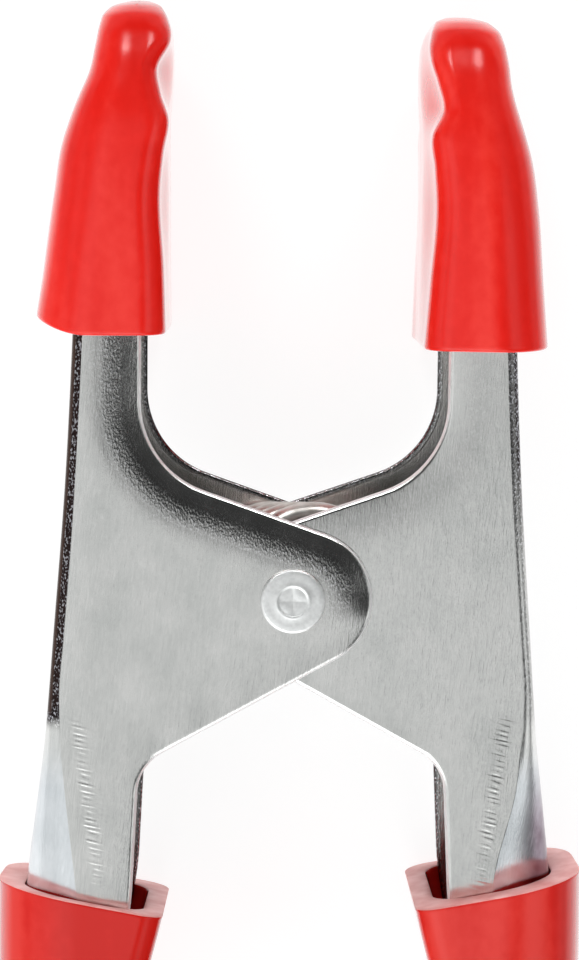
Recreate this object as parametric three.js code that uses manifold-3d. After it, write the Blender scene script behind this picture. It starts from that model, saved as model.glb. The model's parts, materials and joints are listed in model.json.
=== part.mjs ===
// Spring clamp: two pressed-steel levers cross at a rivet, and a torsion spring between them
// closes the jaws. Red vinyl tips cover the jaws and red vinyl grips cover the handles.
//
// The clamp lies on its side. The pivot axis is Z through X = Y = 0, the jaws point along +Y,
// the handles along -Y, and Z = 0 is the surface that the vinyl rests on. The jaws stand open
// by their rated 25.4 mm. All sizes are millimetres.
import * as THREE from 'three';
import { mergeVertices } from 'three/addons/utils/BufferGeometryUtils.js';
import Module from 'manifold-3d';

const wasm = await Module();
wasm.setup();

// ---- driving dimensions ----
const SHEET = 1.2; // steel sheet of the levers
const CHANNEL_WIDTH = 18.6; // outside width of each lever's U-channel
const WALL_GAP = 0.2; // running gap between two overlapping walls
const FIT_GAP = 0.3; // gap between the vinyl and the steel
const CLAMP_WIDTH = 24.8; // outside width of the vinyl parts
const MIDDLE_Z = CLAMP_WIDTH / 2;
const LEVER_Z = MIDDLE_Z + (SHEET + WALL_GAP) / 2; // middle of the left lever's channel

const JAW_END_Y = 51.0;
const HANDLE_END_Y = -55.6;
const FREE_EDGE_X = -14.9; // open edge of the jaw's channel
const NOSE_RADIUS = 6.8;
const HOLE_RADIUS = 2.4;

const TIP_END_Y = 58.3;
const TIP_MOUTH_Y = 26.0;
const GRIP_FACE_X = -12.3; // flat gripping face of the jaw tip
const RIGHT_LEVER_TURN = THREE.MathUtils.degToRad(-1); // the right lever stands this much wider

const GRIP_END_Y = -58.3;
const GRIP_MOUTH_SLANT = THREE.MathUtils.degToRad(11); // across the handle's flat wall
const GRIP_MOUTH_X = -21.7; // the point of the mouth's front rim that mouthY below is read at
const GRIP_FRONT_Z = 24.1;
const GRIP_BACK_WALL = 2.0; // vinyl across the open side of the handle
const CAVITY_CORNER = 1.0; // inside corners of a grip's hollow, at its open side

const SHANK_RADIUS = 2.05;
const FLANGE_RADIUS = 3.15;
const HEAD_RADIUS = 3.9;

const WIRE_RADIUS = 1.1;
const COIL_RADIUS = 6.3; // to the middle of the wire
const COIL_TURNS = 3; // whole turns, besides the arc between the two legs
const COIL_BACK = new THREE.Vector3(-2.3, 0.6, 6.6); // the coil leans across the rivet
const COIL_FRONT = new THREE.Vector3(2.2, 1.9, 18.2);
const LEFT_LEG_END = new THREE.Vector3(-23.3, -24.5, 15.8);
const RIGHT_LEG_END = new THREE.Vector3(22.9, -24.5, 9.0);

const CORNER_STEPS = 5; // facets in each rounded corner of a section
const WIRE_STEPS = 5; // facets in each half of the wire's section
const STEPS_PER_TURN = 24;

// ---- materials ----
const steel = new THREE.MeshStandardMaterial({ color: 0xb9bcbc, roughness: 0.32, metalness: 1 });
const rivetSteel = new THREE.MeshStandardMaterial({ color: 0xd2d4d4, roughness: 0.28, metalness: 1 });
const springSteel = new THREE.MeshStandardMaterial({ color: 0x8e8a86, roughness: 0.3, metalness: 1 });
const vinyl = new THREE.MeshStandardMaterial({ color: 0xe22a24, roughness: 0.38, metalness: 0 });

// ---- solids ----
function solid(geometry) {
  const bare = geometry.clone();
  bare.deleteAttribute('normal');
  bare.deleteAttribute('uv');
  const merged = mergeVertices(bare, 1e-4);
  const vertProperties = new Float32Array(merged.attributes.position.array);
  const triVerts = new Uint32Array(merged.index.array);
  return new wasm.Manifold(new wasm.Mesh({ numProp: 3, vertProperties, triVerts }));
}

function geometryOf(manifold) {
  const mesh = manifold.getMesh();
  const geometry = new THREE.BufferGeometry();
  geometry.setAttribute('position', new THREE.BufferAttribute(mesh.vertProperties, 3));
  geometry.setIndex(new THREE.BufferAttribute(mesh.triVerts, 1));
  return geometry;
}

function namedMesh(name, geometry, material) {
  const mesh = new THREE.Mesh(geometry, material);
  mesh.name = name;
  return mesh;
}

// A closed outline through corner points, each rounded by its own radius.
function roundedOutline(corners) {
  const shape = new THREE.Shape();
  corners.forEach(({ x, y, radius }, i) => {
    const corner = new THREE.Vector2(x, y);
    const before = corners[(i + corners.length - 1) % corners.length];
    const after = corners[(i + 1) % corners.length];
    const toBefore = new THREE.Vector2(before.x - x, before.y - y).normalize();
    const toAfter = new THREE.Vector2(after.x - x, after.y - y).normalize();
    const halfAngle = Math.acos(toBefore.dot(toAfter)) / 2;
    const start = corner.clone().addScaledVector(toBefore, radius / Math.tan(halfAngle));
    const end = corner.clone().addScaledVector(toAfter, radius / Math.tan(halfAngle));
    const inward = toBefore.clone().add(toAfter).normalize();
    const centre = corner.clone().addScaledVector(inward, radius / Math.sin(halfAngle));
    const clockwise = toBefore.cross(toAfter) > 0;
    const startAngle = start.clone().sub(centre).angle();
    const endAngle = end.clone().sub(centre).angle();
    if (i === 0) shape.moveTo(start.x, start.y);
    else shape.lineTo(start.x, start.y);
    shape.absarc(centre.x, centre.y, radius, startAngle, endAngle, clockwise);
  });
  return shape;
}

// A solid along Y through flat sections, listed from the highest Y to the lowest. A section is a
// rectangle from its outer X to its inner X, with its own corner radius on each of those sides.
function loft(sections) {
  const cornerPoints = CORNER_STEPS + 1;
  const sides = 4 * cornerPoints;
  const geometry = new THREE.CylinderGeometry(1, 1, 1, sides, sections.length - 1);
  const position = geometry.attributes.position;
  for (let i = 0; i < position.count; i += 1) {
    const section = sections[Math.round((0.5 - position.getY(i)) * (sections.length - 1))];
    const middleX = (section.outer + section.inner) / 2;
    const onAxis = Math.hypot(position.getX(i), position.getZ(i)) < 0.5;
    if (onAxis) {
      position.setXYZ(i, middleX, section.y, section.z);
    } else {
      const turn = Math.atan2(position.getX(i), position.getZ(i)) / (2 * Math.PI);
      const place = Math.round(turn * sides + sides) % sides;
      const corner = Math.floor(place / cornerPoints);
      const angle = ((corner + (place % cornerPoints) / CORNER_STEPS) * Math.PI) / 2;
      const signX = corner < 2 ? 1 : -1;
      const signZ = corner === 0 || corner === 3 ? 1 : -1;
      const radius = corner < 2 ? section.innerRadius : section.outerRadius;
      const halfX = Math.abs(section.inner - section.outer) / 2;
      const x = middleX + signX * (halfX - radius) + radius * Math.sin(angle);
      const z = section.z + signZ * (section.half - radius) + radius * Math.cos(angle);
      position.setXYZ(i, x, section.y, z);
    }
  }
  return solid(geometry);
}

function pin(radius, low, high, segments) {
  const geometry = new THREE.CylinderGeometry(radius, radius, high - low, segments);
  geometry.rotateX(Math.PI / 2);
  geometry.translate(0, 0, (low + high) / 2);
  return solid(geometry);
}

// ---- levers ----
// Outer face of the lever's web and the radius of the bends beside it, from jaw end to handle end.
// The bends open out below the pivot wing until the handle is nearly half round.
const webLine = [
  { y: JAW_END_Y, web: -18.9, bend: 1.4 },
  { y: 44.5, web: -20.7, bend: 1.4 },
  { y: 26.0, web: -21.45, bend: 1.4 },
  { y: 12.0, web: -22.25, bend: 1.4 },
  { y: -10.0, web: -24.1, bend: 1.4 },
  { y: -14.0, web: -24.5, bend: 1.8 },
  { y: -18.0, web: -25.05, bend: 2.5 },
  { y: -22.0, web: -25.65, bend: 3.5 },
  { y: -27.0, web: -26.4, bend: 4.8 },
  { y: -32.5, web: -26.95, bend: 5.9 },
  { y: -40.0, web: -27.15, bend: 6.8 },
  { y: HANDLE_END_Y, web: -26.6, bend: 7.0 },
];

// The channel's outside grown by `grow`, closed off at the given inner X.
function channelSections(line, grow, innerAt) {
  return line.map(({ y, web, bend }) => ({
    y,
    z: LEVER_Z,
    outer: web - grow,
    inner: innerAt(y),
    half: CHANNEL_WIDTH / 2 + grow,
    outerRadius: bend + grow,
    innerRadius: 0.01,
  }));
}

function stretched(line, reach) {
  const first = { ...line[0], y: line[0].y + reach };
  const last = { ...line[line.length - 1], y: line[line.length - 1].y - reach };
  return [first, ...line, last];
}

function leverGeometry() {
  const pastNose = 12;
  const outline = roundedOutline([
    { x: -32, y: JAW_END_Y, radius: 1 },
    { x: -32, y: HANDLE_END_Y, radius: 1 },
    { x: -20.4, y: HANDLE_END_Y, radius: 2.5 },
    { x: -16.0, y: -30.5, radius: 30 },
    { x: -15.2, y: -16.5, radius: 4.8 },
    { x: 17.56, y: 1.34, radius: NOSE_RADIUS },
    { x: FREE_EDGE_X, y: 13.0, radius: 9.2 },
    { x: FREE_EDGE_X + 0.3, y: JAW_END_Y, radius: 1.5 },
  ]);
  const wings = new THREE.ExtrudeGeometry(outline, {
    depth: CLAMP_WIDTH,
    bevelEnabled: false,
    curveSegments: 10,
  });
  const outside = loft(channelSections(webLine, 0, () => pastNose));
  const inside = loft(channelSections(stretched(webLine, 5), -SHEET, () => pastNose + 5));
  const hole = pin(HOLE_RADIUS, -1, CLAMP_WIDTH + 1, 32);
  return geometryOf(outside.intersect(solid(wings)).subtract(inside).subtract(hole));
}

// ---- vinyl jaw tips ----
function tipGeometry(slide) {
  const outside = loft(
    [
      { y: TIP_END_Y, outer: -17.0, inner: -13.8, half: 4.6, outerRadius: 1.5, innerRadius: 1.5 },
      { y: 57.6, outer: -18.2, inner: -12.7, half: 7.0, outerRadius: 2.4, innerRadius: 2.2 },
      { y: 56.0, outer: -19.1, inner: -12.05, half: 9.3, outerRadius: 3.2, innerRadius: 2.8 },
      { y: 53.0, outer: -20.0, inner: -11.85, half: 11.1, outerRadius: 3.8, innerRadius: 3.0 },
      { y: 50.5, outer: -20.85, inner: GRIP_FACE_X, half: 12.0, outerRadius: 4.2, innerRadius: 3.0 },
      { y: 47.0, outer: -22.25, inner: GRIP_FACE_X, half: 12.4, outerRadius: 4.8, innerRadius: 3.0 },
      { y: 43.5, outer: -23.4, inner: GRIP_FACE_X, half: 12.4, outerRadius: 5.2, innerRadius: 3.0 },
      { y: 36.0, outer: -24.4, inner: GRIP_FACE_X, half: 12.4, outerRadius: 5.5, innerRadius: 3.0 },
      { y: TIP_MOUTH_Y, outer: -25.4, inner: GRIP_FACE_X, half: 12.4, outerRadius: 5.5, innerRadius: 3.0 },
    ].map((section) => ({ ...section, y: section.y - slide, z: MIDDLE_Z })),
  );
  const jawLine = webLine.filter(({ y }) => y > 0);
  const cavity = loft(
    channelSections(stretched(jawLine, FIT_GAP), FIT_GAP, () => FREE_EDGE_X + 0.3 + FIT_GAP),
  );
  return geometryOf(outside.subtract(cavity));
}

// ---- vinyl handle grips ----
const gripLine = [
  { y: -24.0, outer: -29.5, inner: -11.7, half: 11.7, outerRadius: 8.4 },
  { y: -32.0, outer: -29.7, inner: -13.4, half: 11.8, outerRadius: 8.4 },
  { y: -38.6, outer: -29.75, inner: -14.9, half: 12.1, outerRadius: 8.4 },
  { y: -48.0, outer: -29.5, inner: -16.6, half: 12.4, outerRadius: 8.3 },
  { y: -54.0, outer: -28.9, inner: -17.6, half: 12.0, outerRadius: 7.8 },
  { y: -57.0, outer: -27.7, inner: -18.7, half: 10.8, outerRadius: 6.0 },
  { y: GRIP_END_Y, outer: -26.0, inner: -20.6, half: 8.8, outerRadius: 2.6 },
];

// The mouth is cut aslant twice: along X by the slant above, and along Z by mouthLean.
function gripGeometry({ mouthY, mouthZ, mouthLean }) {
  const outside = loft(
    gripLine.map((section) => ({ ...section, z: MIDDLE_Z, innerRadius: 2.6 })),
  );
  const handleLine = webLine.filter(({ y }) => y < -25);
  const innerAt = (y) => {
    const next = gripLine.findIndex((section) => section.y <= y);
    const low = gripLine[next];
    const high = gripLine[next - 1];
    const share = (y - low.y) / (high.y - low.y);
    return THREE.MathUtils.lerp(low.inner, high.inner, share) - GRIP_BACK_WALL;
  };
  const cavity = loft(
    channelSections(stretched(handleLine, FIT_GAP), FIT_GAP, innerAt).map((section) => ({
      ...section,
      innerRadius: CAVITY_CORNER,
    })),
  );
  const above = new THREE.BoxGeometry(60, 30, 60);
  above.translate(0, 15, 0);
  above.rotateX(-mouthLean);
  above.rotateZ(-GRIP_MOUTH_SLANT);
  above.translate(GRIP_MOUTH_X, mouthY, mouthZ);
  return geometryOf(outside.subtract(cavity).subtract(solid(above)));
}

// ---- rivet ----
function rivetGeometry() {
  const frontFace = LEVER_Z + CHANNEL_WIDTH / 2 + 0.1;
  const backFace = 2 * MIDDLE_Z - LEVER_Z - CHANNEL_WIDTH / 2 - 0.1;
  const profile = [
    [0, backFace - 1.7],
    [1.6, backFace - 1.6],
    [2.8, backFace - 1.2],
    [3.6, backFace - 0.6],
    [HEAD_RADIUS, backFace],
    [SHANK_RADIUS, backFace],
    [SHANK_RADIUS, frontFace],
    [FLANGE_RADIUS, frontFace],
    [FLANGE_RADIUS, frontFace + 0.5],
    [2.8, frontFace + 0.9],
    [2.2, frontFace + 1.0],
    [1.9, frontFace + 1.05],
    [1.6, frontFace + 0.8],
    [1.5, frontFace + 0.3],
    [0, frontFace + 0.1],
  ];
  const geometry = new THREE.LatheGeometry(profile.map(([r, z]) => new THREE.Vector2(r, z)), 40);
  geometry.rotateX(Math.PI / 2);
  return geometry;
}

// ---- torsion spring ----
// Where a leg that ends at legEnd touches the coil, as an angle about the coil's centre.
function tangentAngle(centre, legEnd, side) {
  const toEnd = new THREE.Vector2(legEnd.x - centre.x, legEnd.y - centre.y);
  return toEnd.angle() - side * Math.acos(COIL_RADIUS / toEnd.length());
}

function springGeometry() {
  const fullTurn = 2 * Math.PI;
  const startAngle = tangentAngle(COIL_BACK, RIGHT_LEG_END, -1) % fullTurn;
  const endAngle = (tangentAngle(COIL_FRONT, LEFT_LEG_END, 1) % fullTurn) + COIL_TURNS * fullTurn;
  const coilSteps = Math.round(((endAngle - startAngle) / fullTurn) * STEPS_PER_TURN);
  const points = [RIGHT_LEG_END];
  for (let i = 0; i <= coilSteps; i += 1) {
    const share = i / coilSteps;
    const angle = THREE.MathUtils.lerp(startAngle, endAngle, share);
    const onCoil = new THREE.Vector3(Math.cos(angle), Math.sin(angle), 0).multiplyScalar(COIL_RADIUS);
    points.push(onCoil.add(COIL_BACK.clone().lerp(COIL_FRONT, share)));
  }
  points.push(LEFT_LEG_END);
  const wire = new THREE.Shape();
  wire.absarc(0, 0, WIRE_RADIUS, 0, fullTurn);
  return new THREE.ExtrudeGeometry(wire, {
    steps: coilSteps + 24,
    curveSegments: WIRE_STEPS,
    bevelEnabled: false,
    extrudePath: new THREE.CatmullRomCurve3(points),
  });
}

// ---- assembly ----
function half(side, { tipSlide, ...mouth }) {
  const group = new THREE.Group();
  group.add(namedMesh(`${side}_lever`, leverGeometry(), steel));
  group.add(namedMesh(`${side}_jaw_tip`, tipGeometry(tipSlide), vinyl));
  group.add(namedMesh(`${side}_handle_grip`, gripGeometry(mouth), vinyl));
  return group;
}

const leftHalf = half('left', {
  tipSlide: 0,
  mouthY: -29.6,
  mouthZ: GRIP_FRONT_Z,
  mouthLean: THREE.MathUtils.degToRad(6.4),
});

// The right lever is the same stamping turned over about Y, so the walls interleave at the rivet.
// Its tip is pushed further on, and its grip's mouth is cut squarer.
const rightHalf = half('right', {
  tipSlide: 1.3,
  mouthY: -28.7,
  mouthZ: 2 * MIDDLE_Z - GRIP_FRONT_Z,
  mouthLean: THREE.MathUtils.degToRad(-3.2),
});
rightHalf.rotation.y = Math.PI;
rightHalf.position.z = 2 * MIDDLE_Z;
const rightSide = new THREE.Group();
rightSide.rotation.z = RIGHT_LEVER_TURN;
rightSide.add(rightHalf);

const clamp = new THREE.Group();
clamp.add(leftHalf, rightSide);
clamp.add(namedMesh('pivot_rivet', rivetGeometry(), rivetSteel));
clamp.add(namedMesh('torsion_spring', springGeometry(), springSteel));

export default clamp;
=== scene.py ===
import json
import math

import bpy
import bmesh
import numpy as np
from mathutils import Matrix, Vector


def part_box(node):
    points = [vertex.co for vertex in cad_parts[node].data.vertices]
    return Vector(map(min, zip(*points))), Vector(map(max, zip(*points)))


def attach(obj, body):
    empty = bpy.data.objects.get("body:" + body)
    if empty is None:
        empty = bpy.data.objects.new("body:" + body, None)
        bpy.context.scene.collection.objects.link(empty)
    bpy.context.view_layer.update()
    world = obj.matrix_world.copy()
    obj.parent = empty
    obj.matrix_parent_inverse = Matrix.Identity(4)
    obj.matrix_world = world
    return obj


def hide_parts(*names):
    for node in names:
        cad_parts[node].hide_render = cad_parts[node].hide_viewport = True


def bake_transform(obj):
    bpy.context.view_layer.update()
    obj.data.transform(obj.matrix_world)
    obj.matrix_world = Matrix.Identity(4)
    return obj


# Looks of the spring clamp. Sizes in this file are millimetres in the left lever's own frame: the
# pivot axis is Z through X = Y = 0 and the jaws point along +Y. The right half is the same shapes
# turned over about Y. mesh_piece() turns millimetres into the frame's metres.
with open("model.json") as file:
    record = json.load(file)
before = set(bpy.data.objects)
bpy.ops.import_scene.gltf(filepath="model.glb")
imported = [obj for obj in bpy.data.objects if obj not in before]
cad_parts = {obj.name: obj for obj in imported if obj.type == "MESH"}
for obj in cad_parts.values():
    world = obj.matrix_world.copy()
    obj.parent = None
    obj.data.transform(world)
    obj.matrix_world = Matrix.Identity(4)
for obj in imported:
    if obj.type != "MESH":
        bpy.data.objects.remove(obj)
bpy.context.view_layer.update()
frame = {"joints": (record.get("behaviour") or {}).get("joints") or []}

MM = 0.001


def box_mm(node):
    low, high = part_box(node)
    return np.array(low) / MM, np.array(high) / MM


PIVOT_Z = frame["joints"][0]["pos_m"][2] / MM
LEVER_LOW, LEVER_HIGH = box_mm("left_lever")
RIVET_LOW, RIVET_HIGH = box_mm("pivot_rivet")
LEVER_Z = (LEVER_LOW[2] + LEVER_HIGH[2]) / 2
LEVER_HALF = (LEVER_HIGH[2] - LEVER_LOW[2]) / 2
JAW_END_Y = LEVER_HIGH[1]
HANDLE_END_Y = LEVER_LOW[1]
SHEET = 1.2  # thickness of the steel
RIGHT_TURN = math.radians(-1.0)  # the right half is also turned this much about the pivot


# ---------------------------------------------------------------- curves and numbers
def unit(v):
    return v / np.linalg.norm(v)


def smooth_step(low, high, value):
    t = np.clip((value - low) / (high - low), 0, 1)
    return t * t * (3 - 2 * t)


def smooth_line(table, at):
    """A smooth curve through (place, value...) rows, read at the given places."""
    rows = np.array(sorted(table), float)
    place, values = rows[:, 0], rows[:, 1:]
    slopes = np.gradient(values, place, axis=0)
    at = np.clip(np.atleast_1d(at).astype(float), place[0], place[-1])
    i = np.clip(np.searchsorted(place, at) - 1, 0, len(place) - 2)
    span = (place[i + 1] - place[i])[:, None]
    t = ((at - place[i])[:, None]) / span
    return (
        (2 * t**3 - 3 * t**2 + 1) * values[i]
        + (t**3 - 2 * t**2 + t) * span * slopes[i]
        + (3 * t**2 - 2 * t**3) * values[i + 1]
        + (t**3 - t**2) * span * slopes[i + 1]
    )


def rounded_path(corners, degrees_per_step=3.0):
    """Points along an open outline of (x, y, radius) corners, with an arc at each inner corner."""
    points = [np.array(corners[0][:2], float)]
    for before, (x, y, radius), after in zip(corners, corners[1:], corners[2:]):
        corner = np.array((x, y), float)
        to_before = unit(np.array(before[:2]) - corner)
        to_after = unit(np.array(after[:2]) - corner)
        half_angle = math.acos(float(to_before @ to_after)) / 2
        start = corner + to_before * radius / math.tan(half_angle)
        end = corner + to_after * radius / math.tan(half_angle)
        centre = corner + unit(to_before + to_after) * radius / math.sin(half_angle)
        first = math.atan2(*(start - centre)[::-1])
        last = math.atan2(*(end - centre)[::-1])
        turn = (last - first + math.pi) % (2 * math.pi) - math.pi
        steps = max(2, math.ceil(abs(math.degrees(turn)) / degrees_per_step))
        for i in range(steps + 1):
            angle = first + turn * i / steps
            points.append(centre + radius * np.array((math.cos(angle), math.sin(angle))))
    points.append(np.array(corners[-1][:2], float))
    return np.array(points)


# ---------------------------------------------------------------- meshes
def to_frame(points, side):
    """Left-lever millimetres to the frame's metres, turned over for the right half."""
    points = np.array(points, float)
    if side == "right":
        x, y, z = -points[:, 0], points[:, 1], 2 * PIVOT_Z - points[:, 2]
        c, s = math.cos(RIGHT_TURN), math.sin(RIGHT_TURN)
        points = np.stack((x * c - y * s, x * s + y * c, z), axis=1)
    return points * MM


def mesh_piece(name, points, faces, materials, side="left"):
    mesh = bpy.data.meshes.new(name)
    mesh.from_pydata(to_frame(points, side).tolist(), [], faces)
    mesh.update()
    for material in materials:
        mesh.materials.append(material)
    piece = bpy.data.objects.new(name, mesh)
    bpy.context.scene.collection.objects.link(piece)
    built = bmesh.new()
    built.from_mesh(mesh)
    bmesh.ops.recalc_face_normals(built, faces=built.faces)
    built.to_mesh(mesh)
    built.free()
    mesh.shade_smooth()
    return piece


def loft(rings):
    """Points and faces of a closed skin over rings with the same number of points."""
    count = len(rings[0])
    points = np.concatenate(rings)
    faces = []
    for i in range(len(rings) - 1):
        for j in range(count):
            k = (j + 1) % count
            faces.append((i * count + j, i * count + k, (i + 1) * count + k, (i + 1) * count + j))
    faces.append(tuple(range(count)))
    faces.append(tuple((len(rings) - 1) * count + j for j in reversed(range(count))))
    return points, faces


def cut(piece, cutter):
    """Takes the cutter's solid out of the piece and removes the cutter."""
    modifier = piece.modifiers.new("cut", "BOOLEAN")
    modifier.operation = "DIFFERENCE"
    modifier.solver = "EXACT"
    modifier.object = cutter
    bpy.context.view_layer.update()
    evaluated = piece.evaluated_get(bpy.context.evaluated_depsgraph_get())
    mesh = bpy.data.meshes.new_from_object(evaluated)
    piece.modifiers.clear()
    piece.data = mesh
    bpy.data.objects.remove(cutter)


def carry(piece, name, values):
    """Gives each of the piece's points a value, which mesh_mark() reads."""
    attribute = piece.data.attributes.new(name, "FLOAT", "POINT")
    attribute.data.foreach_set("value", values)


def sharpen(piece, degrees=40.0):
    """Smooth shading with hard edges where two faces meet at more than the given angle."""
    piece.data.set_sharp_from_angle(angle=math.radians(degrees))


# ---------------------------------------------------------------- materials
def new_material(name, color, roughness, metallic, specular=0.5):
    """A material with its node tree and its shader. Noise may take over any of the values."""
    material = bpy.data.materials.new(name)
    material.use_nodes = True
    shader = material.node_tree.nodes["Principled BSDF"]
    shader.inputs["Base Color"].default_value = (*color, 1)
    shader.inputs["Roughness"].default_value = roughness
    shader.inputs["Metallic"].default_value = metallic
    shader.inputs["Specular IOR Level"].default_value = specular
    return material, material.node_tree, shader


def noise(tree, scale, detail=2.0, roughness=0.5, turn_degrees=0.0):
    """Noise in the frame's own coordinates. scale is waves per metre along X, Y and Z, and
    turn_degrees leans long streaks away from Y."""
    place = tree.nodes.new("ShaderNodeTexCoord")
    mapping = tree.nodes.new("ShaderNodeMapping")
    mapping.vector_type = "TEXTURE"
    mapping.inputs["Scale"].default_value = [1 / value for value in scale]
    mapping.inputs["Rotation"].default_value[2] = math.radians(-turn_degrees)
    texture = tree.nodes.new("ShaderNodeTexNoise")
    texture.inputs["Scale"].default_value = 1.0
    texture.inputs["Detail"].default_value = detail
    texture.inputs["Roughness"].default_value = roughness
    tree.links.new(place.outputs["Object"], mapping.inputs["Vector"])
    tree.links.new(mapping.outputs["Vector"], texture.inputs["Vector"])
    return texture.outputs["Fac"]


def ramp(tree, value, stops):
    """A colour ramp over (position, colour) stops. A plain number stands for a grey."""
    node = tree.nodes.new("ShaderNodeValToRGB")
    elements = node.color_ramp.elements
    while len(elements) < len(stops):
        elements.new(0.5)
    for element, (position, color) in zip(elements, stops):
        if not isinstance(color, tuple):
            color = (color, color, color)
        element.position = position
        element.color = (*color, 1)
    tree.links.new(value, node.inputs["Fac"])
    return node.outputs["Color"]


def math_node(tree, operation, a, b):
    node = tree.nodes.new("ShaderNodeMath")
    node.operation = operation
    for socket, value in zip(node.inputs, (a, b)):
        if isinstance(value, (int, float)):
            socket.default_value = value
        else:
            tree.links.new(value, socket)
    return node.outputs["Value"]


def mesh_mark(tree, name):
    """A named 0 to 1 value that the mesh carries on its points."""
    node = tree.nodes.new("ShaderNodeAttribute")
    node.attribute_name = name
    return node.outputs["Fac"]


def mixed(tree, a, b, share):
    """Colour a turning into colour b as share goes from 0 to 1."""
    color_a, color_b, color_out = 6, 7, 2  # the node's sockets for colours
    node = tree.nodes.new("ShaderNodeMix")
    node.data_type = "RGBA"
    tree.links.new(share, node.inputs["Factor"])
    tree.links.new(a, node.inputs[color_a])
    tree.links.new(b, node.inputs[color_b])
    return node.outputs[color_out]


def bump(tree, shader, height, strength, distance_mm):
    node = tree.nodes.new("ShaderNodeBump")
    node.inputs["Strength"].default_value = strength
    node.inputs["Distance"].default_value = distance_mm * MM
    tree.links.new(height, node.inputs["Height"])
    tree.links.new(node.outputs["Normal"], shader.inputs["Normal"])


def plate_color(tree, clouds, shade):
    """Zinc plate: grey on the walls, bluish on the opened bends, and a mauve painted dark reflection
    where it is marked.
    """
    tone = math_node(tree, "ADD", clouds, math_node(tree, "MULTIPLY", shade, 0.4))
    grey = ramp(tree, tone, [(0.64, (0.68, 0.69, 0.675)), (1.0, (0.81, 0.81, 0.795))])
    bluish = ramp(tree, tone, [(0.64, (0.68, 0.715, 0.74)), (1.0, (0.79, 0.82, 0.845))])
    mauve = ramp(tree, clouds, [(0.35, (0.22, 0.165, 0.2)), (0.65, (0.4, 0.35, 0.4))])
    opened = mixed(tree, grey, bluish, mesh_mark(tree, "opened_bend"))
    # Painted reflection: the marked outer half of the opened bend is painted dark mauve.
    return mixed(tree, opened, mauve, mesh_mark(tree, "dark_reflection"))


def specks_and_shade_color(tree, grains, bent):
    """Painted shade with dark specks where the plate was strained, and plain dark brown painted shade
    where it was strained most.
    """
    flecks = ramp(tree, grains, [(0.53, (0.02, 0.014, 0.014)), (0.64, (0.52, 0.52, 0.56))])
    painted_shade_brown = ramp(tree, grains, [(0.3, (0.045, 0.026, 0.02)), (0.7, (0.07, 0.045, 0.036))])
    return mixed(tree, flecks, painted_shade_brown, ramp(tree, bent, [(0.7, 0.0), (0.9, 1.0)]))


def plated_steel():
    """Bright plate over rolled sheet, with fine streaks along the lever, torn, bare edges, and painted
    shade with specks on the tight bend and inside the rolled edge.
    """
    material, tree, shader = new_material("plated_steel", (0.75, 0.75, 0.74), 0.2, 1.0)
    streaks = noise(tree, (6200, 420, 6200), detail=4, roughness=0.65, turn_degrees=7)
    scuffs = noise(tree, (3000, 900, 3000), detail=4, roughness=0.65, turn_degrees=7)
    clouds = noise(tree, (260, 180, 260), detail=4, roughness=0.6)
    grains = noise(tree, (6000, 3600, 6000), detail=2, roughness=0.4)
    shade = math_node(tree, "ADD", streaks, math_node(tree, "MULTIPLY", scuffs, 0.6))
    bent = mesh_mark(tree, "tight_bend")
    cut_edge = mesh_mark(tree, "cut_edge")
    plate, specks_and_shade = plate_color(tree, clouds, shade), specks_and_shade_color(tree, grains, bent)
    # Painted shade: where the tight_bend mark is set, the plate is painted dark with specks.
    color = mixed(tree, plate, specks_and_shade, math_node(tree, "MULTIPLY", bent, 2.0))
    bare = ramp(tree, scuffs, [(0.3, 0.78), (0.7, 0.9)])
    tree.links.new(mixed(tree, color, bare, cut_edge), shader.inputs["Base Color"])
    polish = ramp(tree, clouds, [(0.35, 0.135), (0.65, 0.185)])
    torn = ramp(tree, scuffs, [(0.3, 0.5), (0.7, 0.65)])
    tree.links.new(mixed(tree, polish, torn, cut_edge), shader.inputs["Roughness"])
    metal = math_node(tree, "SUBTRACT", 1.0, math_node(tree, "MULTIPLY", cut_edge, 0.6))
    tree.links.new(metal, shader.inputs["Metallic"])
    # The plate came up in small grains where it was stretched or drawn over.
    peel = ramp(tree, bent, [(0.1, 0.0), (0.2, 2.6), (0.7, 2.6), (0.9, 0.0)])
    height = math_node(tree, "ADD", shade, math_node(tree, "MULTIPLY", grains, peel))
    bump(tree, shader, height, 0.9, 0.021)
    return material


def rivet_steel():
    material, tree, shader = new_material("rivet_steel", (0.9, 0.9, 0.9), 0.4, 1.0)
    flecks = noise(tree, (2500, 2500, 2500), detail=3)
    color = ramp(tree, flecks, [(0.3, (0.76, 0.77, 0.765)), (0.65, (0.87, 0.88, 0.875))])
    tree.links.new(color, shader.inputs["Base Color"])
    rough = ramp(tree, noise(tree, (700, 700, 700)), [(0.3, 0.44), (0.7, 0.56)])
    tree.links.new(rough, shader.inputs["Roughness"])
    bump(tree, shader, flecks, 0.4, 0.01)
    return material


def spring_steel():
    material, tree, shader = new_material("spring_steel", (0.5, 0.47, 0.44), 0.3, 0.85)
    drawn = noise(tree, (900, 900, 900), detail=4)
    color = ramp(tree, drawn, [(0.3, (0.4, 0.37, 0.34)), (0.7, (0.62, 0.6, 0.57))])
    tree.links.new(color, shader.inputs["Base Color"])
    rough = ramp(tree, drawn, [(0.3, 0.3), (0.7, 0.4)])
    tree.links.new(rough, shader.inputs["Roughness"])
    bump(tree, shader, drawn, 0.3, 0.01)
    return material


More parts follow.
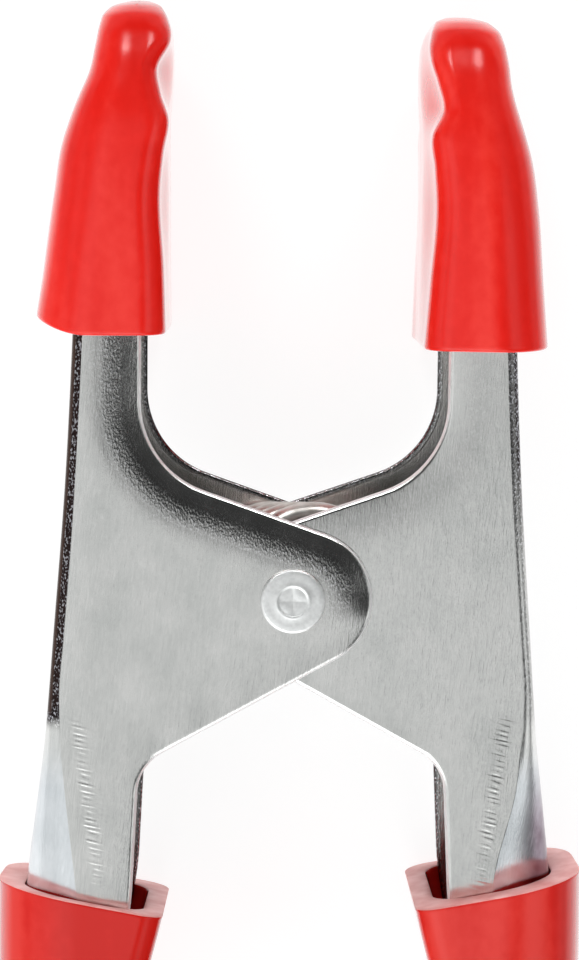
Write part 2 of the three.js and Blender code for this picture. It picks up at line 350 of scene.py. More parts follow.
def vinyl():
    """Soft red vinyl: satin gloss, painted sheen in lighter bands along its length, a faint mottle and
    shallow waves in the skin.
    """
    material, tree, shader = new_material("red_vinyl", (0.9, 0.014, 0.01), 0.3, 0.0)
    mottle = noise(tree, (900, 700, 900), detail=3)
    # Painted sheen: lighter bands of colour along the length of the vinyl.
    sheen_bands = noise(tree, (230, 22, 230), detail=2, roughness=0.4)
    shade = math_node(tree, "ADD", sheen_bands, math_node(tree, "MULTIPLY", mottle, 0.25))
    # Painted shade: the grips are painted a darker red than the tips.
    tip_red = [(0.45, (0.78, 0.011, 0.006)), (0.62, (0.86, 0.017, 0.011)), (0.8, (0.94, 0.04, 0.028))]
    shaded_grip = [(0.45, (0.63, 0.013, 0.008)), (0.62, (0.7, 0.019, 0.014)), (0.8, (0.78, 0.04, 0.03))]
    tip_red, shaded_grip = ramp(tree, shade, tip_red), ramp(tree, shade, shaded_grip)
    tint = mixed(tree, tip_red, shaded_grip, mesh_mark(tree, "shaded_grip"))
    tree.links.new(tint, shader.inputs["Base Color"])
    rough = ramp(tree, noise(tree, (500, 350, 500), detail=3), [(0.3, 0.19), (0.7, 0.27)])
    tree.links.new(rough, shader.inputs["Roughness"])
    gloss_at_edges(tree, shader)
    waves = noise(tree, (260, 90, 260), detail=2)
    grain = noise(tree, (3500, 3500, 3500), detail=2)
    height = math_node(tree, "ADD", waves, math_node(tree, "MULTIPLY", grain, 0.03))
    bump(tree, shader, height, 0.3, 0.12)
    return material


def gloss_at_edges(tree, shader):
    """Weak gloss on the slopes and strong gloss only where the surface is seen at a graze."""
    facing = tree.nodes.new("ShaderNodeLayerWeight")
    facing.inputs["Blend"].default_value = 0.5
    gloss = ramp(tree, facing.outputs["Facing"], [(0.05, 0.5), (0.25, 0.14), (0.93, 0.06), (0.98, 1.0)])
    tree.links.new(gloss, shader.inputs["Specular IOR Level"])
    graze = ramp(tree, facing.outputs["Facing"], [(0.46, 0.0), (0.76, 1.0)])
    tree.links.new(graze, shader.inputs["Coat Weight"])
    shader.inputs["Coat Roughness"].default_value = 0.08
    shader.inputs["Coat IOR"].default_value = 2.3


def cut_vinyl():
    """The cut rim of a vinyl grip: duller than the moulded skin, with fine drag marks."""
    material, tree, shader = new_material("cut_vinyl", (0.74, 0.08, 0.06), 0.42, 0.0)
    marks = noise(tree, (420, 420, 420), detail=4)
    color = ramp(tree, marks, [(0.3, (0.74, 0.25, 0.23)), (0.68, (0.9, 0.47, 0.45))])
    tree.links.new(color, shader.inputs["Base Color"])
    bump(tree, shader, marks, 0.25, 0.06)
    return material


STEEL = plated_steel()
RIVET = rivet_steel()
SPRING = spring_steel()
VINYL = vinyl()
CUT_VINYL = cut_vinyl()

# ---------------------------------------------------------------- levers
# Y, X of the web's outer face and radius of its bends, from jaw end to handle end.
WEB_LINE = [
    (JAW_END_Y, -18.9, 1.0),
    (44.5, -20.7, 1.0),
    (26.0, -21.45, 1.0),
    (12.0, -22.25, 1.0),
    (-4.0, -23.58, 1.0),
    (-9.0, -24.0, 1.0),
    (-14.0, -24.5, 1.65),
    (-18.0, -25.05, 2.5),
    (-22.0, -25.65, 3.5),
    (-27.0, -26.4, 4.8),
    (-32.5, -26.95, 5.9),
    (-40.0, -27.15, 6.8),
    (HANDLE_END_Y, -26.6, 7.0),
]
# The open edge of both walls as (X, Y, radius) corners: jaw, fillet, round nose about the pivot,
# fillet, handle.
FREE_EDGE = [
    (-14.6, JAW_END_Y, 0),
    (-14.9, 13.0, 9.2),
    (17.56, 1.34, 6.8),
    (-15.2, -16.5, 4.8),
    (-16.0, -30.5, 30.0),
    (-20.4, HANDLE_END_Y, 0),
]
EDGE_OVER, EDGE_UNDER = 0.5, 0.28  # rounding of the open edge, on its outer and inner side
HOLE_RADIUS = 2.4
ROLL_WIDTH = 7.2  # the shears pull the outer face down towards the open edge
ROLL_SLOPE = {"left": 0.3, "right": 0.12}
CROWN_WIDTH = 2.8  # beside the bend the wall is still a little crowned
CROWN_SLOPE = {"left": 0.055, "right": 0.0}
WIDER_BEND = {"left": 0.0, "right": 1.0}  # one handle is opened out a little more
OPEN_BEND_DEPTH = 0.92  # the opened bend is a little flatter than round
CREASE = {"left": math.radians(12), "right": math.radians(33)}  # between it and the flat wall
WRINKLE_TOP_Y, WRINKLE_LOW_Y = -9.8, -30.8
WRINKLE_SLANT = {"left": 0.25, "right": -0.25}
WRINKLE_HEIGHT = 0.0145

# What the points of a lever carry for its material, each from 0 to 1.
MARKS = ("tight_bend", "cut_edge", "opened_bend", "dark_reflection")
# Painted shade: how dark the tight bend is painted, with specks.
TIGHT_BEND_SHADE = {"left": (1.0, 1.0), "right": (0.17, 0.5)}  # on the tight bend, low down and high up
INNER_BEND_SHADE = 0.75  # share of it on the wall's half of the bend
ROLL_SPECKS_AND_SHADE = {"left": 0.19, "right": 0.05}  # painted shade with dark specks, a little inside the edge the shears rolled over
SPECKS_IN, SPECKS_WIDTH = 2.8, 1.6  # how far they lie from the open edge, and how far they spread
FAR_EDGE_SHADE = 0.42  # the cut edge of the far wall is painted in shade and not bare
DARK_REFLECTION = {"left": 0.0, "right": 1.0}  # one opened bend has a mauve painted dark reflection on its outer half

# Points of a lever's section on the web, as shares of its half width, and how many there are on
# the bend, on the wall and on each rounding of the open edge.
WEB_SHARES = (0, 0.2, 0.4, 0.6, 0.8, 0.98)
BEND_POINTS, WALL_POINTS, ROUND_POINTS = 15, 66, 6
OPEN_EDGE = rounded_path(FREE_EDGE)


def wrinkle(x, y, side):
    """Fine pressed wrinkles beside the opened bend, each a short slanting dash."""
    middle = -21.55 - 0.126 * (y + 11) + 0.3 * math.sin(4.3 * y) * math.sin(1.1 * y + 2)
    beside = x - middle
    across = np.where(beside < 0, np.exp(-((beside / 0.5) ** 2)), np.exp(-((beside / 1.2) ** 2)))
    along = smooth_step(WRINKLE_TOP_Y, WRINKLE_TOP_Y - 2.5, y)
    along = along * smooth_step(WRINKLE_LOW_Y, WRINKLE_LOW_Y + 6, y)
    along = along * (0.84 + 0.16 * math.sin(1.3 * y))
    level = y + WRINKLE_SLANT[side] * beside
    phase = 12.0 * level + 0.9 * math.sin(0.9 * y) + 0.45 * math.sin(2.3 * y + 1)
    wave = np.sin(phase) + 0.18 * np.sin(1.73 * phase + 2)
    return WRINKLE_HEIGHT * wave * across * along


def edge_distance(x, y):
    """Distance of the points at height y from the open edge."""
    start, end = OPEN_EDGE[:-1], OPEN_EDGE[1:]
    along = end - start
    to_point = np.stack((x, np.full_like(x, y)), axis=1)[:, None] - start[None]
    share = np.clip((to_point * along).sum(2) / (along**2).sum(1), 0, 1)
    return np.linalg.norm(to_point - share[..., None] * along, axis=2).min(axis=1)


def wall_drop(x, y, bend_edge, side):
    """How far the outer face lies below flat: crowned beside the bend, rolled at the open edge."""
    crown = np.clip(1 - (x - bend_edge) / CROWN_WIDTH, 0, 1) ** 2
    width = ROLL_WIDTH * (1 + 0.35 * smooth_step(10, 24, y))
    roll = np.clip(1 - edge_distance(x, y) / width, 0, 1) ** 3
    slope = ROLL_SLOPE[side] * (0.35 + 0.65 * smooth_step(-2.4, 1.4, y))
    return CROWN_SLOPE[side] * CROWN_WIDTH / 2 * crown + slope * width / 3 * roll


def openness(bend):
    """0 where the bend is tight and 1 where it is opened out."""
    return smooth_step(1.4, 2.8, bend)


def bend_arc(side, web, bend, offset, top):
    """The bend from the wall round to the web, between their end points."""
    opened = openness(bend)
    crease = CREASE[side] * opened
    radius = max(bend - offset, 0.3)
    depth = radius * (1 - (1 - OPEN_BEND_DEPTH) * opened)
    share = np.concatenate(((0, 0.01), np.linspace(0, 1, BEND_POINTS - 1)[1:]))
    angle = crease + (math.pi / 2 - crease) * share
    x = web + offset + radius - radius * (np.sin(angle) - math.sin(crease)) / (1 - math.sin(crease))
    z = top - depth * (math.cos(crease) - np.cos(angle)) / math.cos(crease)
    return np.stack((x, z), axis=1)


def channel_line(side, y):
    """Outer face of the web and radius of its bends at height y."""
    web, bend = smooth_line(WEB_LINE, y)[0]
    return web, bend + WIDER_BEND[side] * smooth_step(2.5, 5, bend)


def front_marks(side, y, bend, wall_x, count):
    """The MARKS of the front half of a section, whose count points run outside over the web, the
    bend and the wall (at wall_x), round the open edge, and back inside."""
    marks = np.zeros((len(MARKS), count))
    tight, cut_edge, opened, dark_reflection = marks
    bend_start = len(WEB_SHARES)
    bend_middle = bend_start + BEND_POINTS // 2 + 1
    wall_start = bend_start + BEND_POINTS
    edge_start = wall_start + len(wall_x)
    # The tight bend is painted dark: painted shade, with specks.
    specks_and_shade = np.interp(y, (4, 14), TIGHT_BEND_SHADE[side]) * (1 - smooth_step(1.1, 1.5, bend))
    tight[bend_start:bend_middle] = specks_and_shade
    tight[bend_middle:wall_start] = specks_and_shade * INNER_BEND_SHADE
    opened[bend_start : wall_start - 1] = openness(bend)
    # Painted reflection: the outer half of the opened bend is painted dark mauve, low down.
    fading = DARK_REFLECTION[side] * (1 - smooth_step(6, 11, np.arange(BEND_POINTS)))
    dark_reflection[bend_start:wall_start] = fading * smooth_step(-15, -23, y)
    dark_reflection[:bend_start] = dark_reflection[bend_start]
    # Painted shade: a band of dark specks a little inside the rolled open edge.
    specks = np.exp(-(((edge_distance(wall_x, y) - SPECKS_IN) / SPECKS_WIDTH) ** 2))
    tight[wall_start:edge_start] = ROLL_SPECKS_AND_SHADE[side] * specks * smooth_step(-3.5, 1.5, y)
    cut_edge[edge_start + 2 : edge_start + 2 * ROUND_POINTS] = 1
    return marks


def section_marks(side, front):
    """The MARKS round a whole section. The back half is like the front, but its cut edge is
    painted in shade and not bare."""
    tight, cut_edge, opened, dark_reflection = front
    back = np.stack((np.maximum(tight, FAR_EDGE_SHADE * cut_edge), 0 * cut_edge, opened, dark_reflection))
    first, second = (front, back) if side == "left" else (back, front)
    return np.concatenate((first, second[:, 1:-1][:, ::-1]), axis=1)


def lever_section(side, y, free, stretch):
    """One closed loop round the bent sheet at height y, and its MARKS. free is the open edge's X,
    and stretch widens the edge's rounding where it runs aslant."""
    web, bend = channel_line(side, y)
    bend_edge = web + bend
    share = np.concatenate(((0, 0.005), np.linspace(0, 1, WALL_POINTS)[1:] ** 0.95))
    edge_x = free - EDGE_OVER * stretch
    outer_x = bend_edge + (edge_x - bend_edge) * share
    outer_z = LEVER_HALF - wall_drop(outer_x, y, bend_edge, side)
    outer_z += wrinkle(outer_x, y, side)
    outer_arc = bend_arc(side, web, bend, 0, outer_z[0])
    inner_arc = bend_arc(side, web, bend, SHEET, LEVER_HALF - SHEET)
    inner_share = np.linspace(0, 1, 12)
    inner_x = inner_arc[0, 0] + (free - EDGE_UNDER * stretch - inner_arc[0, 0]) * inner_share
    inner_z = np.full_like(inner_x, LEVER_HALF - SHEET)
    turn = np.linspace(0, math.pi / 2, ROUND_POINTS + 1)[1:]
    round_off = np.stack((np.sin(turn), np.cos(turn) - 1), axis=1)
    over = round_off * (EDGE_OVER * stretch, EDGE_OVER) + (edge_x, outer_z[-1])
    under = (round_off * (1, -1))[::-1] * (EDGE_UNDER * stretch, EDGE_UNDER)
    under += (free - EDGE_UNDER * stretch, inner_z[-1])
    web_share = np.array(WEB_SHARES)[:, None]
    outer_web = web_share * (0, outer_arc[-1, 1]) + (web, 0)
    inner_web = web_share * (0, inner_arc[-1, 1]) + (web + SHEET, 0)
    rows = [
        outer_web,
        outer_arc[::-1],
        np.stack((outer_x, outer_z), 1)[1:],
        over,
        under,
        np.stack((inner_x, inner_z), 1)[::-1][1:],
        inner_arc[1:],
        inner_web[::-1],
    ]
    half = np.concatenate(rows)
    marks = section_marks(side, front_marks(side, y, bend, outer_x[1:], len(half)))
    loop = np.concatenate((half, half[1:-1][::-1] * (1, -1)))
    ring = np.stack((loop[:, 0], np.full(len(loop), y), LEVER_Z + loop[:, 1]), axis=1)
    return ring, marks


def lever_heights():
    """Even steps along the open edge, and fine steps where the wrinkles are."""
    steps = np.linalg.norm(np.diff(OPEN_EDGE, axis=0), axis=1)
    length = np.concatenate(([0], np.cumsum(steps)))
    even = np.interp(np.arange(0, length[-1], 0.5), length, OPEN_EDGE[:, 1])
    coarse = even[(even > WRINKLE_TOP_Y) | (even < WRINKLE_LOW_Y)]
    fine = np.arange(WRINKLE_LOW_Y, WRINKLE_TOP_Y, 0.065)
    return np.sort(np.concatenate((coarse, fine, (HANDLE_END_Y,))))[::-1]


def lever(side):
    heights = lever_heights()
    edge_x, edge_y = OPEN_EDGE[::-1].T
    free = np.interp(heights, edge_y, edge_x)
    slope = np.interp(heights, edge_y, np.gradient(edge_x, edge_y))
    stretch = np.clip(np.sqrt(1 + slope**2), 1, 4)
    sections = [lever_section(side, *row) for row in zip(heights, free, stretch)]
    rings, marks = zip(*sections)
    piece = mesh_piece(f"{side}_steel_lever", *loft(rings), [STEEL], side)
    for name, values in zip(MARKS, np.concatenate(marks, axis=1)):
        carry(piece, name, values)
    bpy.ops.mesh.primitive_cylinder_add(
        vertices=48, radius=HOLE_RADIUS * MM, depth=0.06, location=(0, 0, PIVOT_Z * MM)
    )
    cut(piece, bpy.context.object)
    sharpen(piece)
    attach(piece, f"{side}_side")
    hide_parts(f"{side}_lever")


# ---------------------------------------------------------------- vinyl
def vinyl_ring(outer, inner, half, outer_radius, inner_radius, middle_z):
    """A rounded rectangle of points in X and Z, round from its outer side at the front."""
    corner = np.linspace(0, math.pi / 2, 12)
    points = []

    def flat(start, end, count):
        for share in np.linspace(0, 1, count + 2)[1:-1]:
            points.append(np.array(start) * (1 - share) + np.array(end) * share)

    def arc(centre_x, centre_z, radius, first):
        for angle in first - corner:
            points.append((centre_x + radius * math.cos(angle), centre_z + radius * math.sin(angle)))

    quarter = math.pi / 2
    arc(outer + outer_radius, half - outer_radius, outer_radius, 2 * quarter)
    flat((outer + outer_radius, half), (inner - inner_radius, half), 8)
    arc(inner - inner_radius, half - inner_radius, inner_radius, quarter)
    flat((inner, half - inner_radius), (inner, inner_radius - half), 14)
    arc(inner - inner_radius, inner_radius - half, inner_radius, 0)
    flat((inner - inner_radius, -half), (outer + outer_radius, -half), 8)
    arc(outer + outer_radius, outer_radius - half, outer_radius, -quarter)
    flat((outer, outer_radius - half), (outer, half - outer_radius), 8)
    return np.array(points) + (0, middle_z)


def end_heights(end_y, inward):
    """Y of the close rings that round off a closed end, and of the next ring after them."""
    rounding = 1.2 * (1 - np.cos(np.linspace(0, math.pi / 2, 10)))
    return end_y + inward * rounding, end_y + inward * 1.5


# Y, outer X, inner X, half width, outer corner radius, inner corner radius
TIP_LINE = [
    (58.3, -16.3, -13.9, 4.4, 1.3, 1.3),
    (58.0, -17.3, -13.2, 5.9, 2.1, 2.0),
    (57.2, -18.4, -12.5, 7.9, 2.9, 2.3),
    (56.0, -19.0, -12.05, 9.3, 3.3, 2.4),
    (54.0, -19.7, -11.85, 10.6, 3.7, 2.3),
    (51.0, -20.6, -11.9, 11.6, 4.2, 2.1),
    (47.6, -21.8, -12.2, 12.15, 4.8, 2.1),
    (44.5, -22.75, -12.3, 12.3, 5.2, 2.2),
    (40.0, -23.5, -12.3, 12.4, 5.4, 2.4),
    (33.0, -24.35, -12.3, 12.4, 5.5, 2.6),
    (26.0, -25.1, -12.25, 12.4, 5.5, 2.8),
]
TIP_TOP_Y, TIP_MOUTH_Y = TIP_LINE[0][0], TIP_LINE[-1][0]
TIP_HOLLOW_X = -14.3  # the hollow's inner side, just past the jaw's open edge
TIP_LIP = 0.35  # rounding of the mouth's rim
# For each tip: Y, how far the gripping face stands out (+) or draws back (-) along its front edge
# and along its back edge, and how far the outer side lies inside TIP_LINE.
EDGE_PROFILE = {
    "left": [
        (58.3, 0.0, 0.0, 0.1),
        (56.8, 0.0, -0.2, 0.15),
        (54.3, 0.05, -0.45, 0.5),
        (51.6, -1.2, -0.8, 0.75),
        (49.3, -0.7, -0.7, 0.55),
        (46.8, 0.25, -0.35, 0.4),
        (43.6, -0.15, -0.4, 0.3),
        (40.4, -0.5, -0.45, 0.3),
        (32.4, -0.2, -0.3, 0.1),
        (TIP_MOUTH_Y, -0.1, -0.35, 0.0),
    ],
    "right": [
        (58.3, 0.0, 0.0, -0.3),
        (56.8, -0.2, -0.2, -0.5),
        (54.3, -0.4, -0.45, -0.3),
        (51.6, -1.15, -0.7, 0.1),
        (49.3, -1.5, -0.55, 0.25),
        (46.8, -0.3, -0.1, 0.25),
        (43.6, -0.5, -0.1, 0.25),
        (40.4, -0.75, -0.15, 0.25),
        (32.4, -0.35, 0.05, 0.45),
        (TIP_MOUTH_Y, 0.0, 0.15, 0.55),
    ],
}
TIP_SLIDE = {"left": 0.0, "right": 1.3}  # the right tip is pushed further onto its jaw
TIP_RISE = {"left": 1.5, "right": 0.2}  # the mouth is cut a little higher on its outer side


def tip_ring(y, side):
    """A level ring of a tip's outer skin, with its gripping edges dented."""
    outer, inner, half, outer_radius, inner_radius = smooth_line(TIP_LINE, y)[0]
    front, back, slimmer = smooth_line(EDGE_PROFILE[side], y)[0]
    outer += slimmer
    ring = vinyl_ring(outer, inner, half, outer_radius, inner_radius, PIVOT_Z)
    forward = (ring[:, 1] - PIVOT_Z) * (1 if side == "left" else -1)
    near_face = smooth_step(outer + 4.5, inner - 0.8, ring[:, 0])
    shift = front * smooth_step(half - 12, half - 2.6, forward)
    shift += back * smooth_step(half - 6.5, half - 2.6, -forward)
    x = ring[:, 0] + shift * near_face
    return np.stack((x, np.full(len(x), y - TIP_SLIDE[side]), ring[:, 1]), axis=1)


def hollow_ring(side, y, inner, inner_radius=0.8):
    """The hollow round the steel channel, a little larger than the channel."""
    gap = 0.22  # between the steel and the vinyl
    web, bend = channel_line(side, y)
    ring = vinyl_ring(web - gap, inner, LEVER_HALF + gap, bend + gap, inner_radius, LEVER_Z)
    return np.stack((ring[:, 0], np.full(len(ring), y), ring[:, 1]), axis=1)


def risen(ring, side):
    """Lifts the outer side of a tip ring, fully at the mouth."""
    outer = TIP_LINE[-1][1]
    corner = np.clip(1 - (ring[:, 0] - outer) / 5.5, 0, 1) ** 2
    share = smooth_step(TIP_MOUTH_Y + 7, TIP_MOUTH_Y, ring[0, 1] + TIP_SLIDE[side])
    lifted = ring.copy()
    lifted[:, 1] += TIP_RISE[side] * corner * share
    return lifted


def jaw_tip(side):
    lip_y = TIP_MOUTH_Y + TIP_LIP
    dome, below_dome = end_heights(TIP_TOP_Y, -1)
    heights = np.concatenate((dome, np.linspace(below_dome, lip_y, 100)))
    rings = [risen(tip_ring(y, side), side) for y in heights]
    depths = np.linspace(lip_y - TIP_SLIDE[side], JAW_END_Y + 0.2, 40)
    inside = [risen(hollow_ring(side, y, TIP_HOLLOW_X), side) for y in depths]
    outside = rings[-1]
    for angle in np.linspace(0, math.pi, 9)[1:-1]:
        share = (1 - math.cos(angle)) / 2
        ring = outside * (1 - share) + inside[0] * share
        ring[:, 1] -= TIP_LIP * math.sin(angle) ** 0.6
        rings.append(ring)
    piece = mesh_piece(f"{side}_vinyl_jaw_tip", *loft(rings + inside), [VINYL], side)
    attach(piece, f"{side}_side")
    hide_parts(f"{side}_jaw_tip")


# Y, outer X, inner X, half width, outer corner radius
GRIP_LINE = [
    (-22.0, -29.45, -11.2, 11.7, 8.4),
    (-31.0, -29.65, -13.2, 11.75, 8.4),
    (-38.6, -29.72, -14.95, 12.05, 8.4),
    (-48.0, -29.5, -16.7, 12.35, 8.3),
    (-53.0, -29.0, -17.6, 12.0, 7.9),
    (-56.0, -28.2, -18.5, 11.2, 6.8),
    (-57.6, -27.2, -19.6, 10.0, 4.9),
    (-58.3, -25.9, -21.0, 8.2, 2.3),
]
GRIP_END_Y = GRIP_LINE[-1][0]
GRIP_WALL = 2.0
# The mouth is cut aslant. At MOUTH_X on its front side, MOUTH_FRONT before the clamp's middle, it
# is at MOUTH_Y, and from there it slopes along X and along Z.
MOUTH_X = -21.7
MOUTH_FRONT = 11.7
MOUTH_SLANT = math.tan(math.radians(11))
MOUTH_Y = {"left": -29.6, "right": -28.7}
MOUTH_LEAN = {"left": math.tan(math.radians(6.4)), "right": math.tan(math.radians(3.2))}


def mouth_height(ring, side):
    """Y of the mouth's plane over the X and Z of a ring."""
    front = PIVOT_Z + MOUTH_FRONT if side == "left" else PIVOT_Z - MOUTH_FRONT
    depth = np.abs(front - ring[:, 2])
    return MOUTH_Y[side] - (ring[:, 0] - MOUTH_X) * MOUTH_SLANT - depth * MOUTH_LEAN[side]


def slanted(ring, side):
    """A level ring leans more and more towards the mouth, and fully at the mouth itself."""
    share = smooth_step(GRIP_END_Y + 6, MOUTH_Y[side], ring[0, 1])
    leaning = ring.copy()
    leaning[:, 1] += (mouth_height(ring, side) - MOUTH_Y[side]) * share
    return leaning


def grip_ring(y):
    """A level ring of a grip's outer skin."""
    outer, inner, half, outer_radius = smooth_line(GRIP_LINE, y)[0]
    ring = vinyl_ring(outer, inner, half, outer_radius, 2.4, PIVOT_Z)
    return np.stack((ring[:, 0], np.full(len(ring), y), ring[:, 1]), axis=1)


def grip_hollow_ring(side, y):
    """A level ring of a grip's hollow, with rounder corners near the mouth."""
    inner = smooth_line(GRIP_LINE, y)[0][1] - GRIP_WALL
    return hollow_ring(side, y, inner, 3.6 - 2.4 * smooth_step(-36, -42, y))


def handle_grip(side):
    level = MOUTH_Y[side]
    dome, above_dome = end_heights(GRIP_END_Y, 1)
    heights = np.concatenate((dome, np.linspace(above_dome, level, 70)))
    rings = [slanted(grip_ring(y), side) for y in heights]
    outside = rings[-1]
    inside = slanted(grip_hollow_ring(side, level), side)
    bevel = 0.12
    for share, drop in ((0.05, 0.0), (0.5, 0.0), (0.95, 0.0), (1.0, bevel)):
        ring = outside * (1 - share) + inside * share
        ring[:, 1] -= drop
        rings.append(ring)
    outside[:, 1] -= bevel
    depths = np.linspace(level - 0.5, HANDLE_END_Y - 0.2, 40)
    rings += [slanted(grip_hollow_ring(side, y), side) for y in depths]
    points, faces = loft(rings)
    piece = mesh_piece(f"{side}_vinyl_handle_grip", points, faces, [VINYL, CUT_VINYL], side)
    # Marks the whole grip for its painted shade.
    carry(piece, "shaded_grip", np.ones(len(points)))
    count = len(outside)
    first_cut = (len(heights) - 1) * count
    for polygon in piece.data.polygons[first_cut : first_cut + 4 * count]:
        polygon.material_index = 1
    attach(piece, f"{side}_side")
    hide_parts(f"{side}_handle_grip")


# ---------------------------------------------------------------- rivet
RIVET_STEPS = 72
SHANK_RADIUS = 2.05
PUNCH_RADIUS = 1.2
PUNCH_SLOPE = 0.09


def rivet_rings(profile):
    """Rings about the pivot axis from (radius, Z) rows."""
    angles = np.linspace(0, 2 * math.pi, RIVET_STEPS, endpoint=False)
    circle = np.stack((np.cos(angles), np.sin(angles)), axis=1)
    return [np.column_stack((radius * circle, np.full(RIVET_STEPS, z))) for radius, z in profile]


def punched(ring, height):
    """Lays a ring onto the four shallow facets that the riveting punch left in the middle."""
    lift = PUNCH_SLOPE * (np.abs(ring[:, 0]) + np.abs(ring[:, 1]) - PUNCH_RADIUS)
    return np.column_stack((ring[:, :2], height + lift))


def pivot_rivet():
    front = LEVER_HIGH[2] + 0.02
    back = 2 * PIVOT_Z - LEVER_HIGH[2] - 0.02
    head_height = back - RIVET_LOW[2]
    head_radius = RIVET_HIGH[0]
    dome = [
        (head_radius * math.sin(a), back - head_height * math.cos(a) * 0.94)
        for a in np.linspace(0.02, math.pi / 2, 16)
    ]
    shank = [(SHANK_RADIUS, back), (SHANK_RADIUS, front)]
    level = front + 0.5
    flange = [
        (3.0, front),
        (3.12, front + 0.06),
        (3.18, front + 0.2),
        (3.14, level - 0.14),
        (3.04, level - 0.03),
        (2.9, level),
        (2.4, level),
        (1.84, level + 0.01),
        (1.74, level + 0.03),
        (1.62, level + 0.06),
        (1.5, level + 0.04),
        (1.42, level - 0.02),
        (1.3, level - 0.03),
    ]
    rings = rivet_rings(dome + shank + flange)
    middle = rivet_rings([(PUNCH_RADIUS, 0), (PUNCH_RADIUS / 2, 0), (0.05, 0)])
    rings += [punched(ring, level - 0.05) for ring in middle]
    piece = mesh_piece("pivot_rivet_detail", *loft(rings), [RIVET])
    for polygon in piece.data.polygons[-1 - len(middle) * RIVET_STEPS :]:
        polygon.use_smooth = False
    sharpen(piece)
    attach(piece, "left_side")
    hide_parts("pivot_rivet")


# ---------------------------------------------------------------- torsion spring
WIRE_RADIUS = 1.1
COIL_RADIUS = 6.3
COIL_TURNS = 3
COIL_BACK = np.array((-2.3, 0.6, 6.6))
COIL_FRONT = np.array((2.2, 1.9, 18.2))
LEFT_LEG_END = np.array((-23.3, -24.5, 15.8))
RIGHT_LEG_END = np.array((22.9, -24.5, 9.0))


def tangent_angle(centre, leg_end, side):
    """Where on the coil a straight leg to leg_end leaves it."""
    x, y = leg_end[:2] - centre[:2]
    return math.atan2(y, x) - side * math.acos(COIL_RADIUS / math.hypot(x, y))


def torsion_spring():
    turn = 2 * math.pi
    first = tangent_angle(COIL_BACK, RIGHT_LEG_END, -1) % turn
    last = tangent_angle(COIL_FRONT, LEFT_LEG_END, 1) % turn + COIL_TURNS * turn
    path = []
    for share in np.linspace(0, 1, int((last - first) / turn * 64)):
        angle = first + (last - first) * share
        round_axis = COIL_RADIUS * np.array((math.cos(angle), math.sin(angle), 0))
        path.append(COIL_BACK + (COIL_FRONT - COIL_BACK) * share + round_axis)
    leg_steps = np.linspace(0, 1, 24)
    back_leg = [RIGHT_LEG_END + (path[0] - RIGHT_LEG_END) * s for s in leg_steps[:-1]]
    front_leg = [path[-1] + (LEFT_LEG_END - path[-1]) * s for s in leg_steps[1:]]
    path = np.array(back_leg + path + front_leg)
    ahead = np.gradient(path, axis=0)
    ahead /= np.linalg.norm(ahead, axis=1)[:, None]
    sides = np.cross(ahead, (0, 0, 1.0))
    sides /= np.linalg.norm(sides, axis=1)[:, None]
    ups = np.cross(sides, ahead)
    angles = np.linspace(0, turn, 20, endpoint=False)
    rings = []
    chamfer = 0.25
    for i, (centre, side, up) in enumerate(zip(path, sides, ups)):
        ring = side[None] * np.cos(angles)[:, None] + up[None] * np.sin(angles)[:, None]
        if i == 0:
            rings.append(centre + ring * (WIRE_RADIUS - chamfer))
            centre = centre + ahead[0] * chamfer
        if i == len(path) - 1:
            rings.append(centre - ahead[-1] * chamfer + ring * WIRE_RADIUS)
            ring = ring * (1 - chamfer / WIRE_RADIUS)
        rings.append(centre + ring * WIRE_RADIUS)
    piece = mesh_piece("torsion_spring_wire", *loft(rings), [SPRING])
    sharpen(piece)
    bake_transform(piece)
    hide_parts("torsion_spring")


for side in ("left", "right"):
    lever(side)
    jaw_tip(side)
    handle_grip(side)
pivot_rivet()
torsion_spring()

# ---------------------------------------------------------------- stage, light and camera
PICTURE_LENS = 103.46  # a long lens close by, so that the far walls look 7% smaller
CAMERA_PLACE = Vector((-3.23, 40.55, 289.4)) * MM
CAMERA_AIM = Vector((-0.36, 11.9, 22.4)) * MM


def floor():
    """A lit white table, which keeps the ground pale between the jaws."""
    bpy.ops.mesh.primitive_plane_add(size=6.0, location=(0, 0, 0))
    plane = bpy.context.object
    plane.name = "floor"
    material, tree, shader = new_material("lit_table", (0.2, 0.2, 0.2), 0.8, 0.0, 0.1)
    shade = ramp(tree, noise(tree, (3, 3, 3)), [(0.3, 0.19), (0.7, 0.2)])
    tree.links.new(shade, shader.inputs["Base Color"])
    shader.inputs["Emission Color"].default_value = (1, 1, 1, 1)
    shader.inputs["Emission Strength"].default_value = 0.88
    plane.data.materials.append(material)


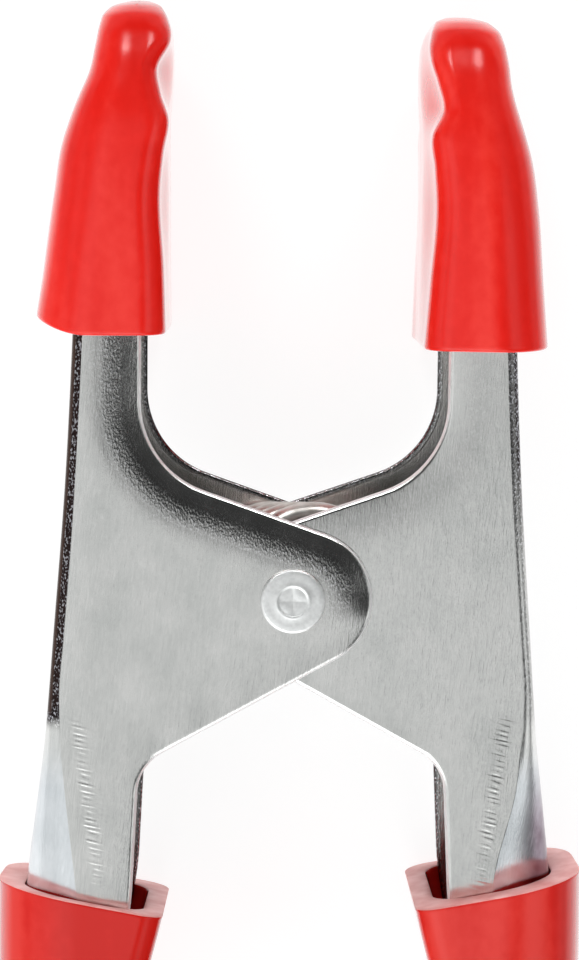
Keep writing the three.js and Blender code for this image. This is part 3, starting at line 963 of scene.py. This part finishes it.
# The studio as patches of sky: direction, degrees to the edge of the bright core, degrees to where
# the patch ends, strength. Towards +Y it stays dark, but for two small lamps.
SKY_PATCHES = [
    ((-0.3, -0.4, 0.87), 30, 37, 0.6),
    ((-0.2, -0.95, 0.35), 22, 50, 2.25),
    ((-0.62, -0.12, 0.77), 22, 31, 0.24),
    ((-0.97, -0.1, 0.12), 20, 34, 0.8),
    ((0.17, -0.15, 0.97), 4.5, 9, 0.26),
    ((0.76, -0.2, 0.65), 12, 20, 0.62),
    ((0.97, -0.1, 0.2), 32, 46, 0.3),
    ((-0.3, 0.75, 0.55), 5, 11, 14.0),
    ((0.3, 0.78, 0.5), 5, 11, 14.0),
]
SKY_FILL = 0.04


def sky_patch(tree, direction, core, edge, strength):
    """A soft round light far away, as strength over its core falling to nothing at its edge."""
    place = tree.nodes.new("ShaderNodeTexCoord")
    toward = tree.nodes.new("ShaderNodeVectorMath")
    toward.operation = "DOT_PRODUCT"
    toward.inputs[1].default_value = Vector(direction).normalized()
    tree.links.new(place.outputs["Generated"], toward.inputs[0])
    falloff = tree.nodes.new("ShaderNodeMapRange")
    falloff.interpolation_type = "SMOOTHSTEP"
    falloff.inputs["From Min"].default_value = math.cos(math.radians(edge))
    falloff.inputs["From Max"].default_value = math.cos(math.radians(core))
    falloff.inputs["To Min"].default_value = 0.0
    falloff.inputs["To Max"].default_value = strength
    tree.links.new(toward.outputs["Value"], falloff.inputs["Value"])
    return falloff.outputs["Result"]


def studio():
    world = bpy.data.worlds.new("studio")
    bpy.context.scene.world = world
    world.use_nodes = True
    tree = world.node_tree
    strength = SKY_FILL
    for patch in SKY_PATCHES:
        strength = math_node(tree, "ADD", sky_patch(tree, *patch), strength)
    background = tree.nodes["Background"]
    background.inputs["Color"].default_value = (0.99, 1.0, 1.0, 1)
    tree.links.new(strength, background.inputs["Strength"])


def camera():
    data = bpy.data.cameras.new("picture_camera")
    data.sensor_width = 36.0
    data.lens = PICTURE_LENS
    data.clip_start, data.clip_end = 0.01, 20
    picture = bpy.data.objects.new("picture_camera", data)
    back = (CAMERA_PLACE - CAMERA_AIM).normalized()
    up = back.cross(Vector((1, 0, 0))).normalized()
    right = up.cross(back)
    turned = Matrix((right, up, back)).transposed().to_4x4()
    picture.matrix_world = Matrix.Translation(CAMERA_PLACE) @ turned
    bpy.context.scene.collection.objects.link(picture)
    bpy.context.scene.camera = picture


floor()
studio()
camera()
bpy.context.scene.view_settings.view_transform = "Standard"
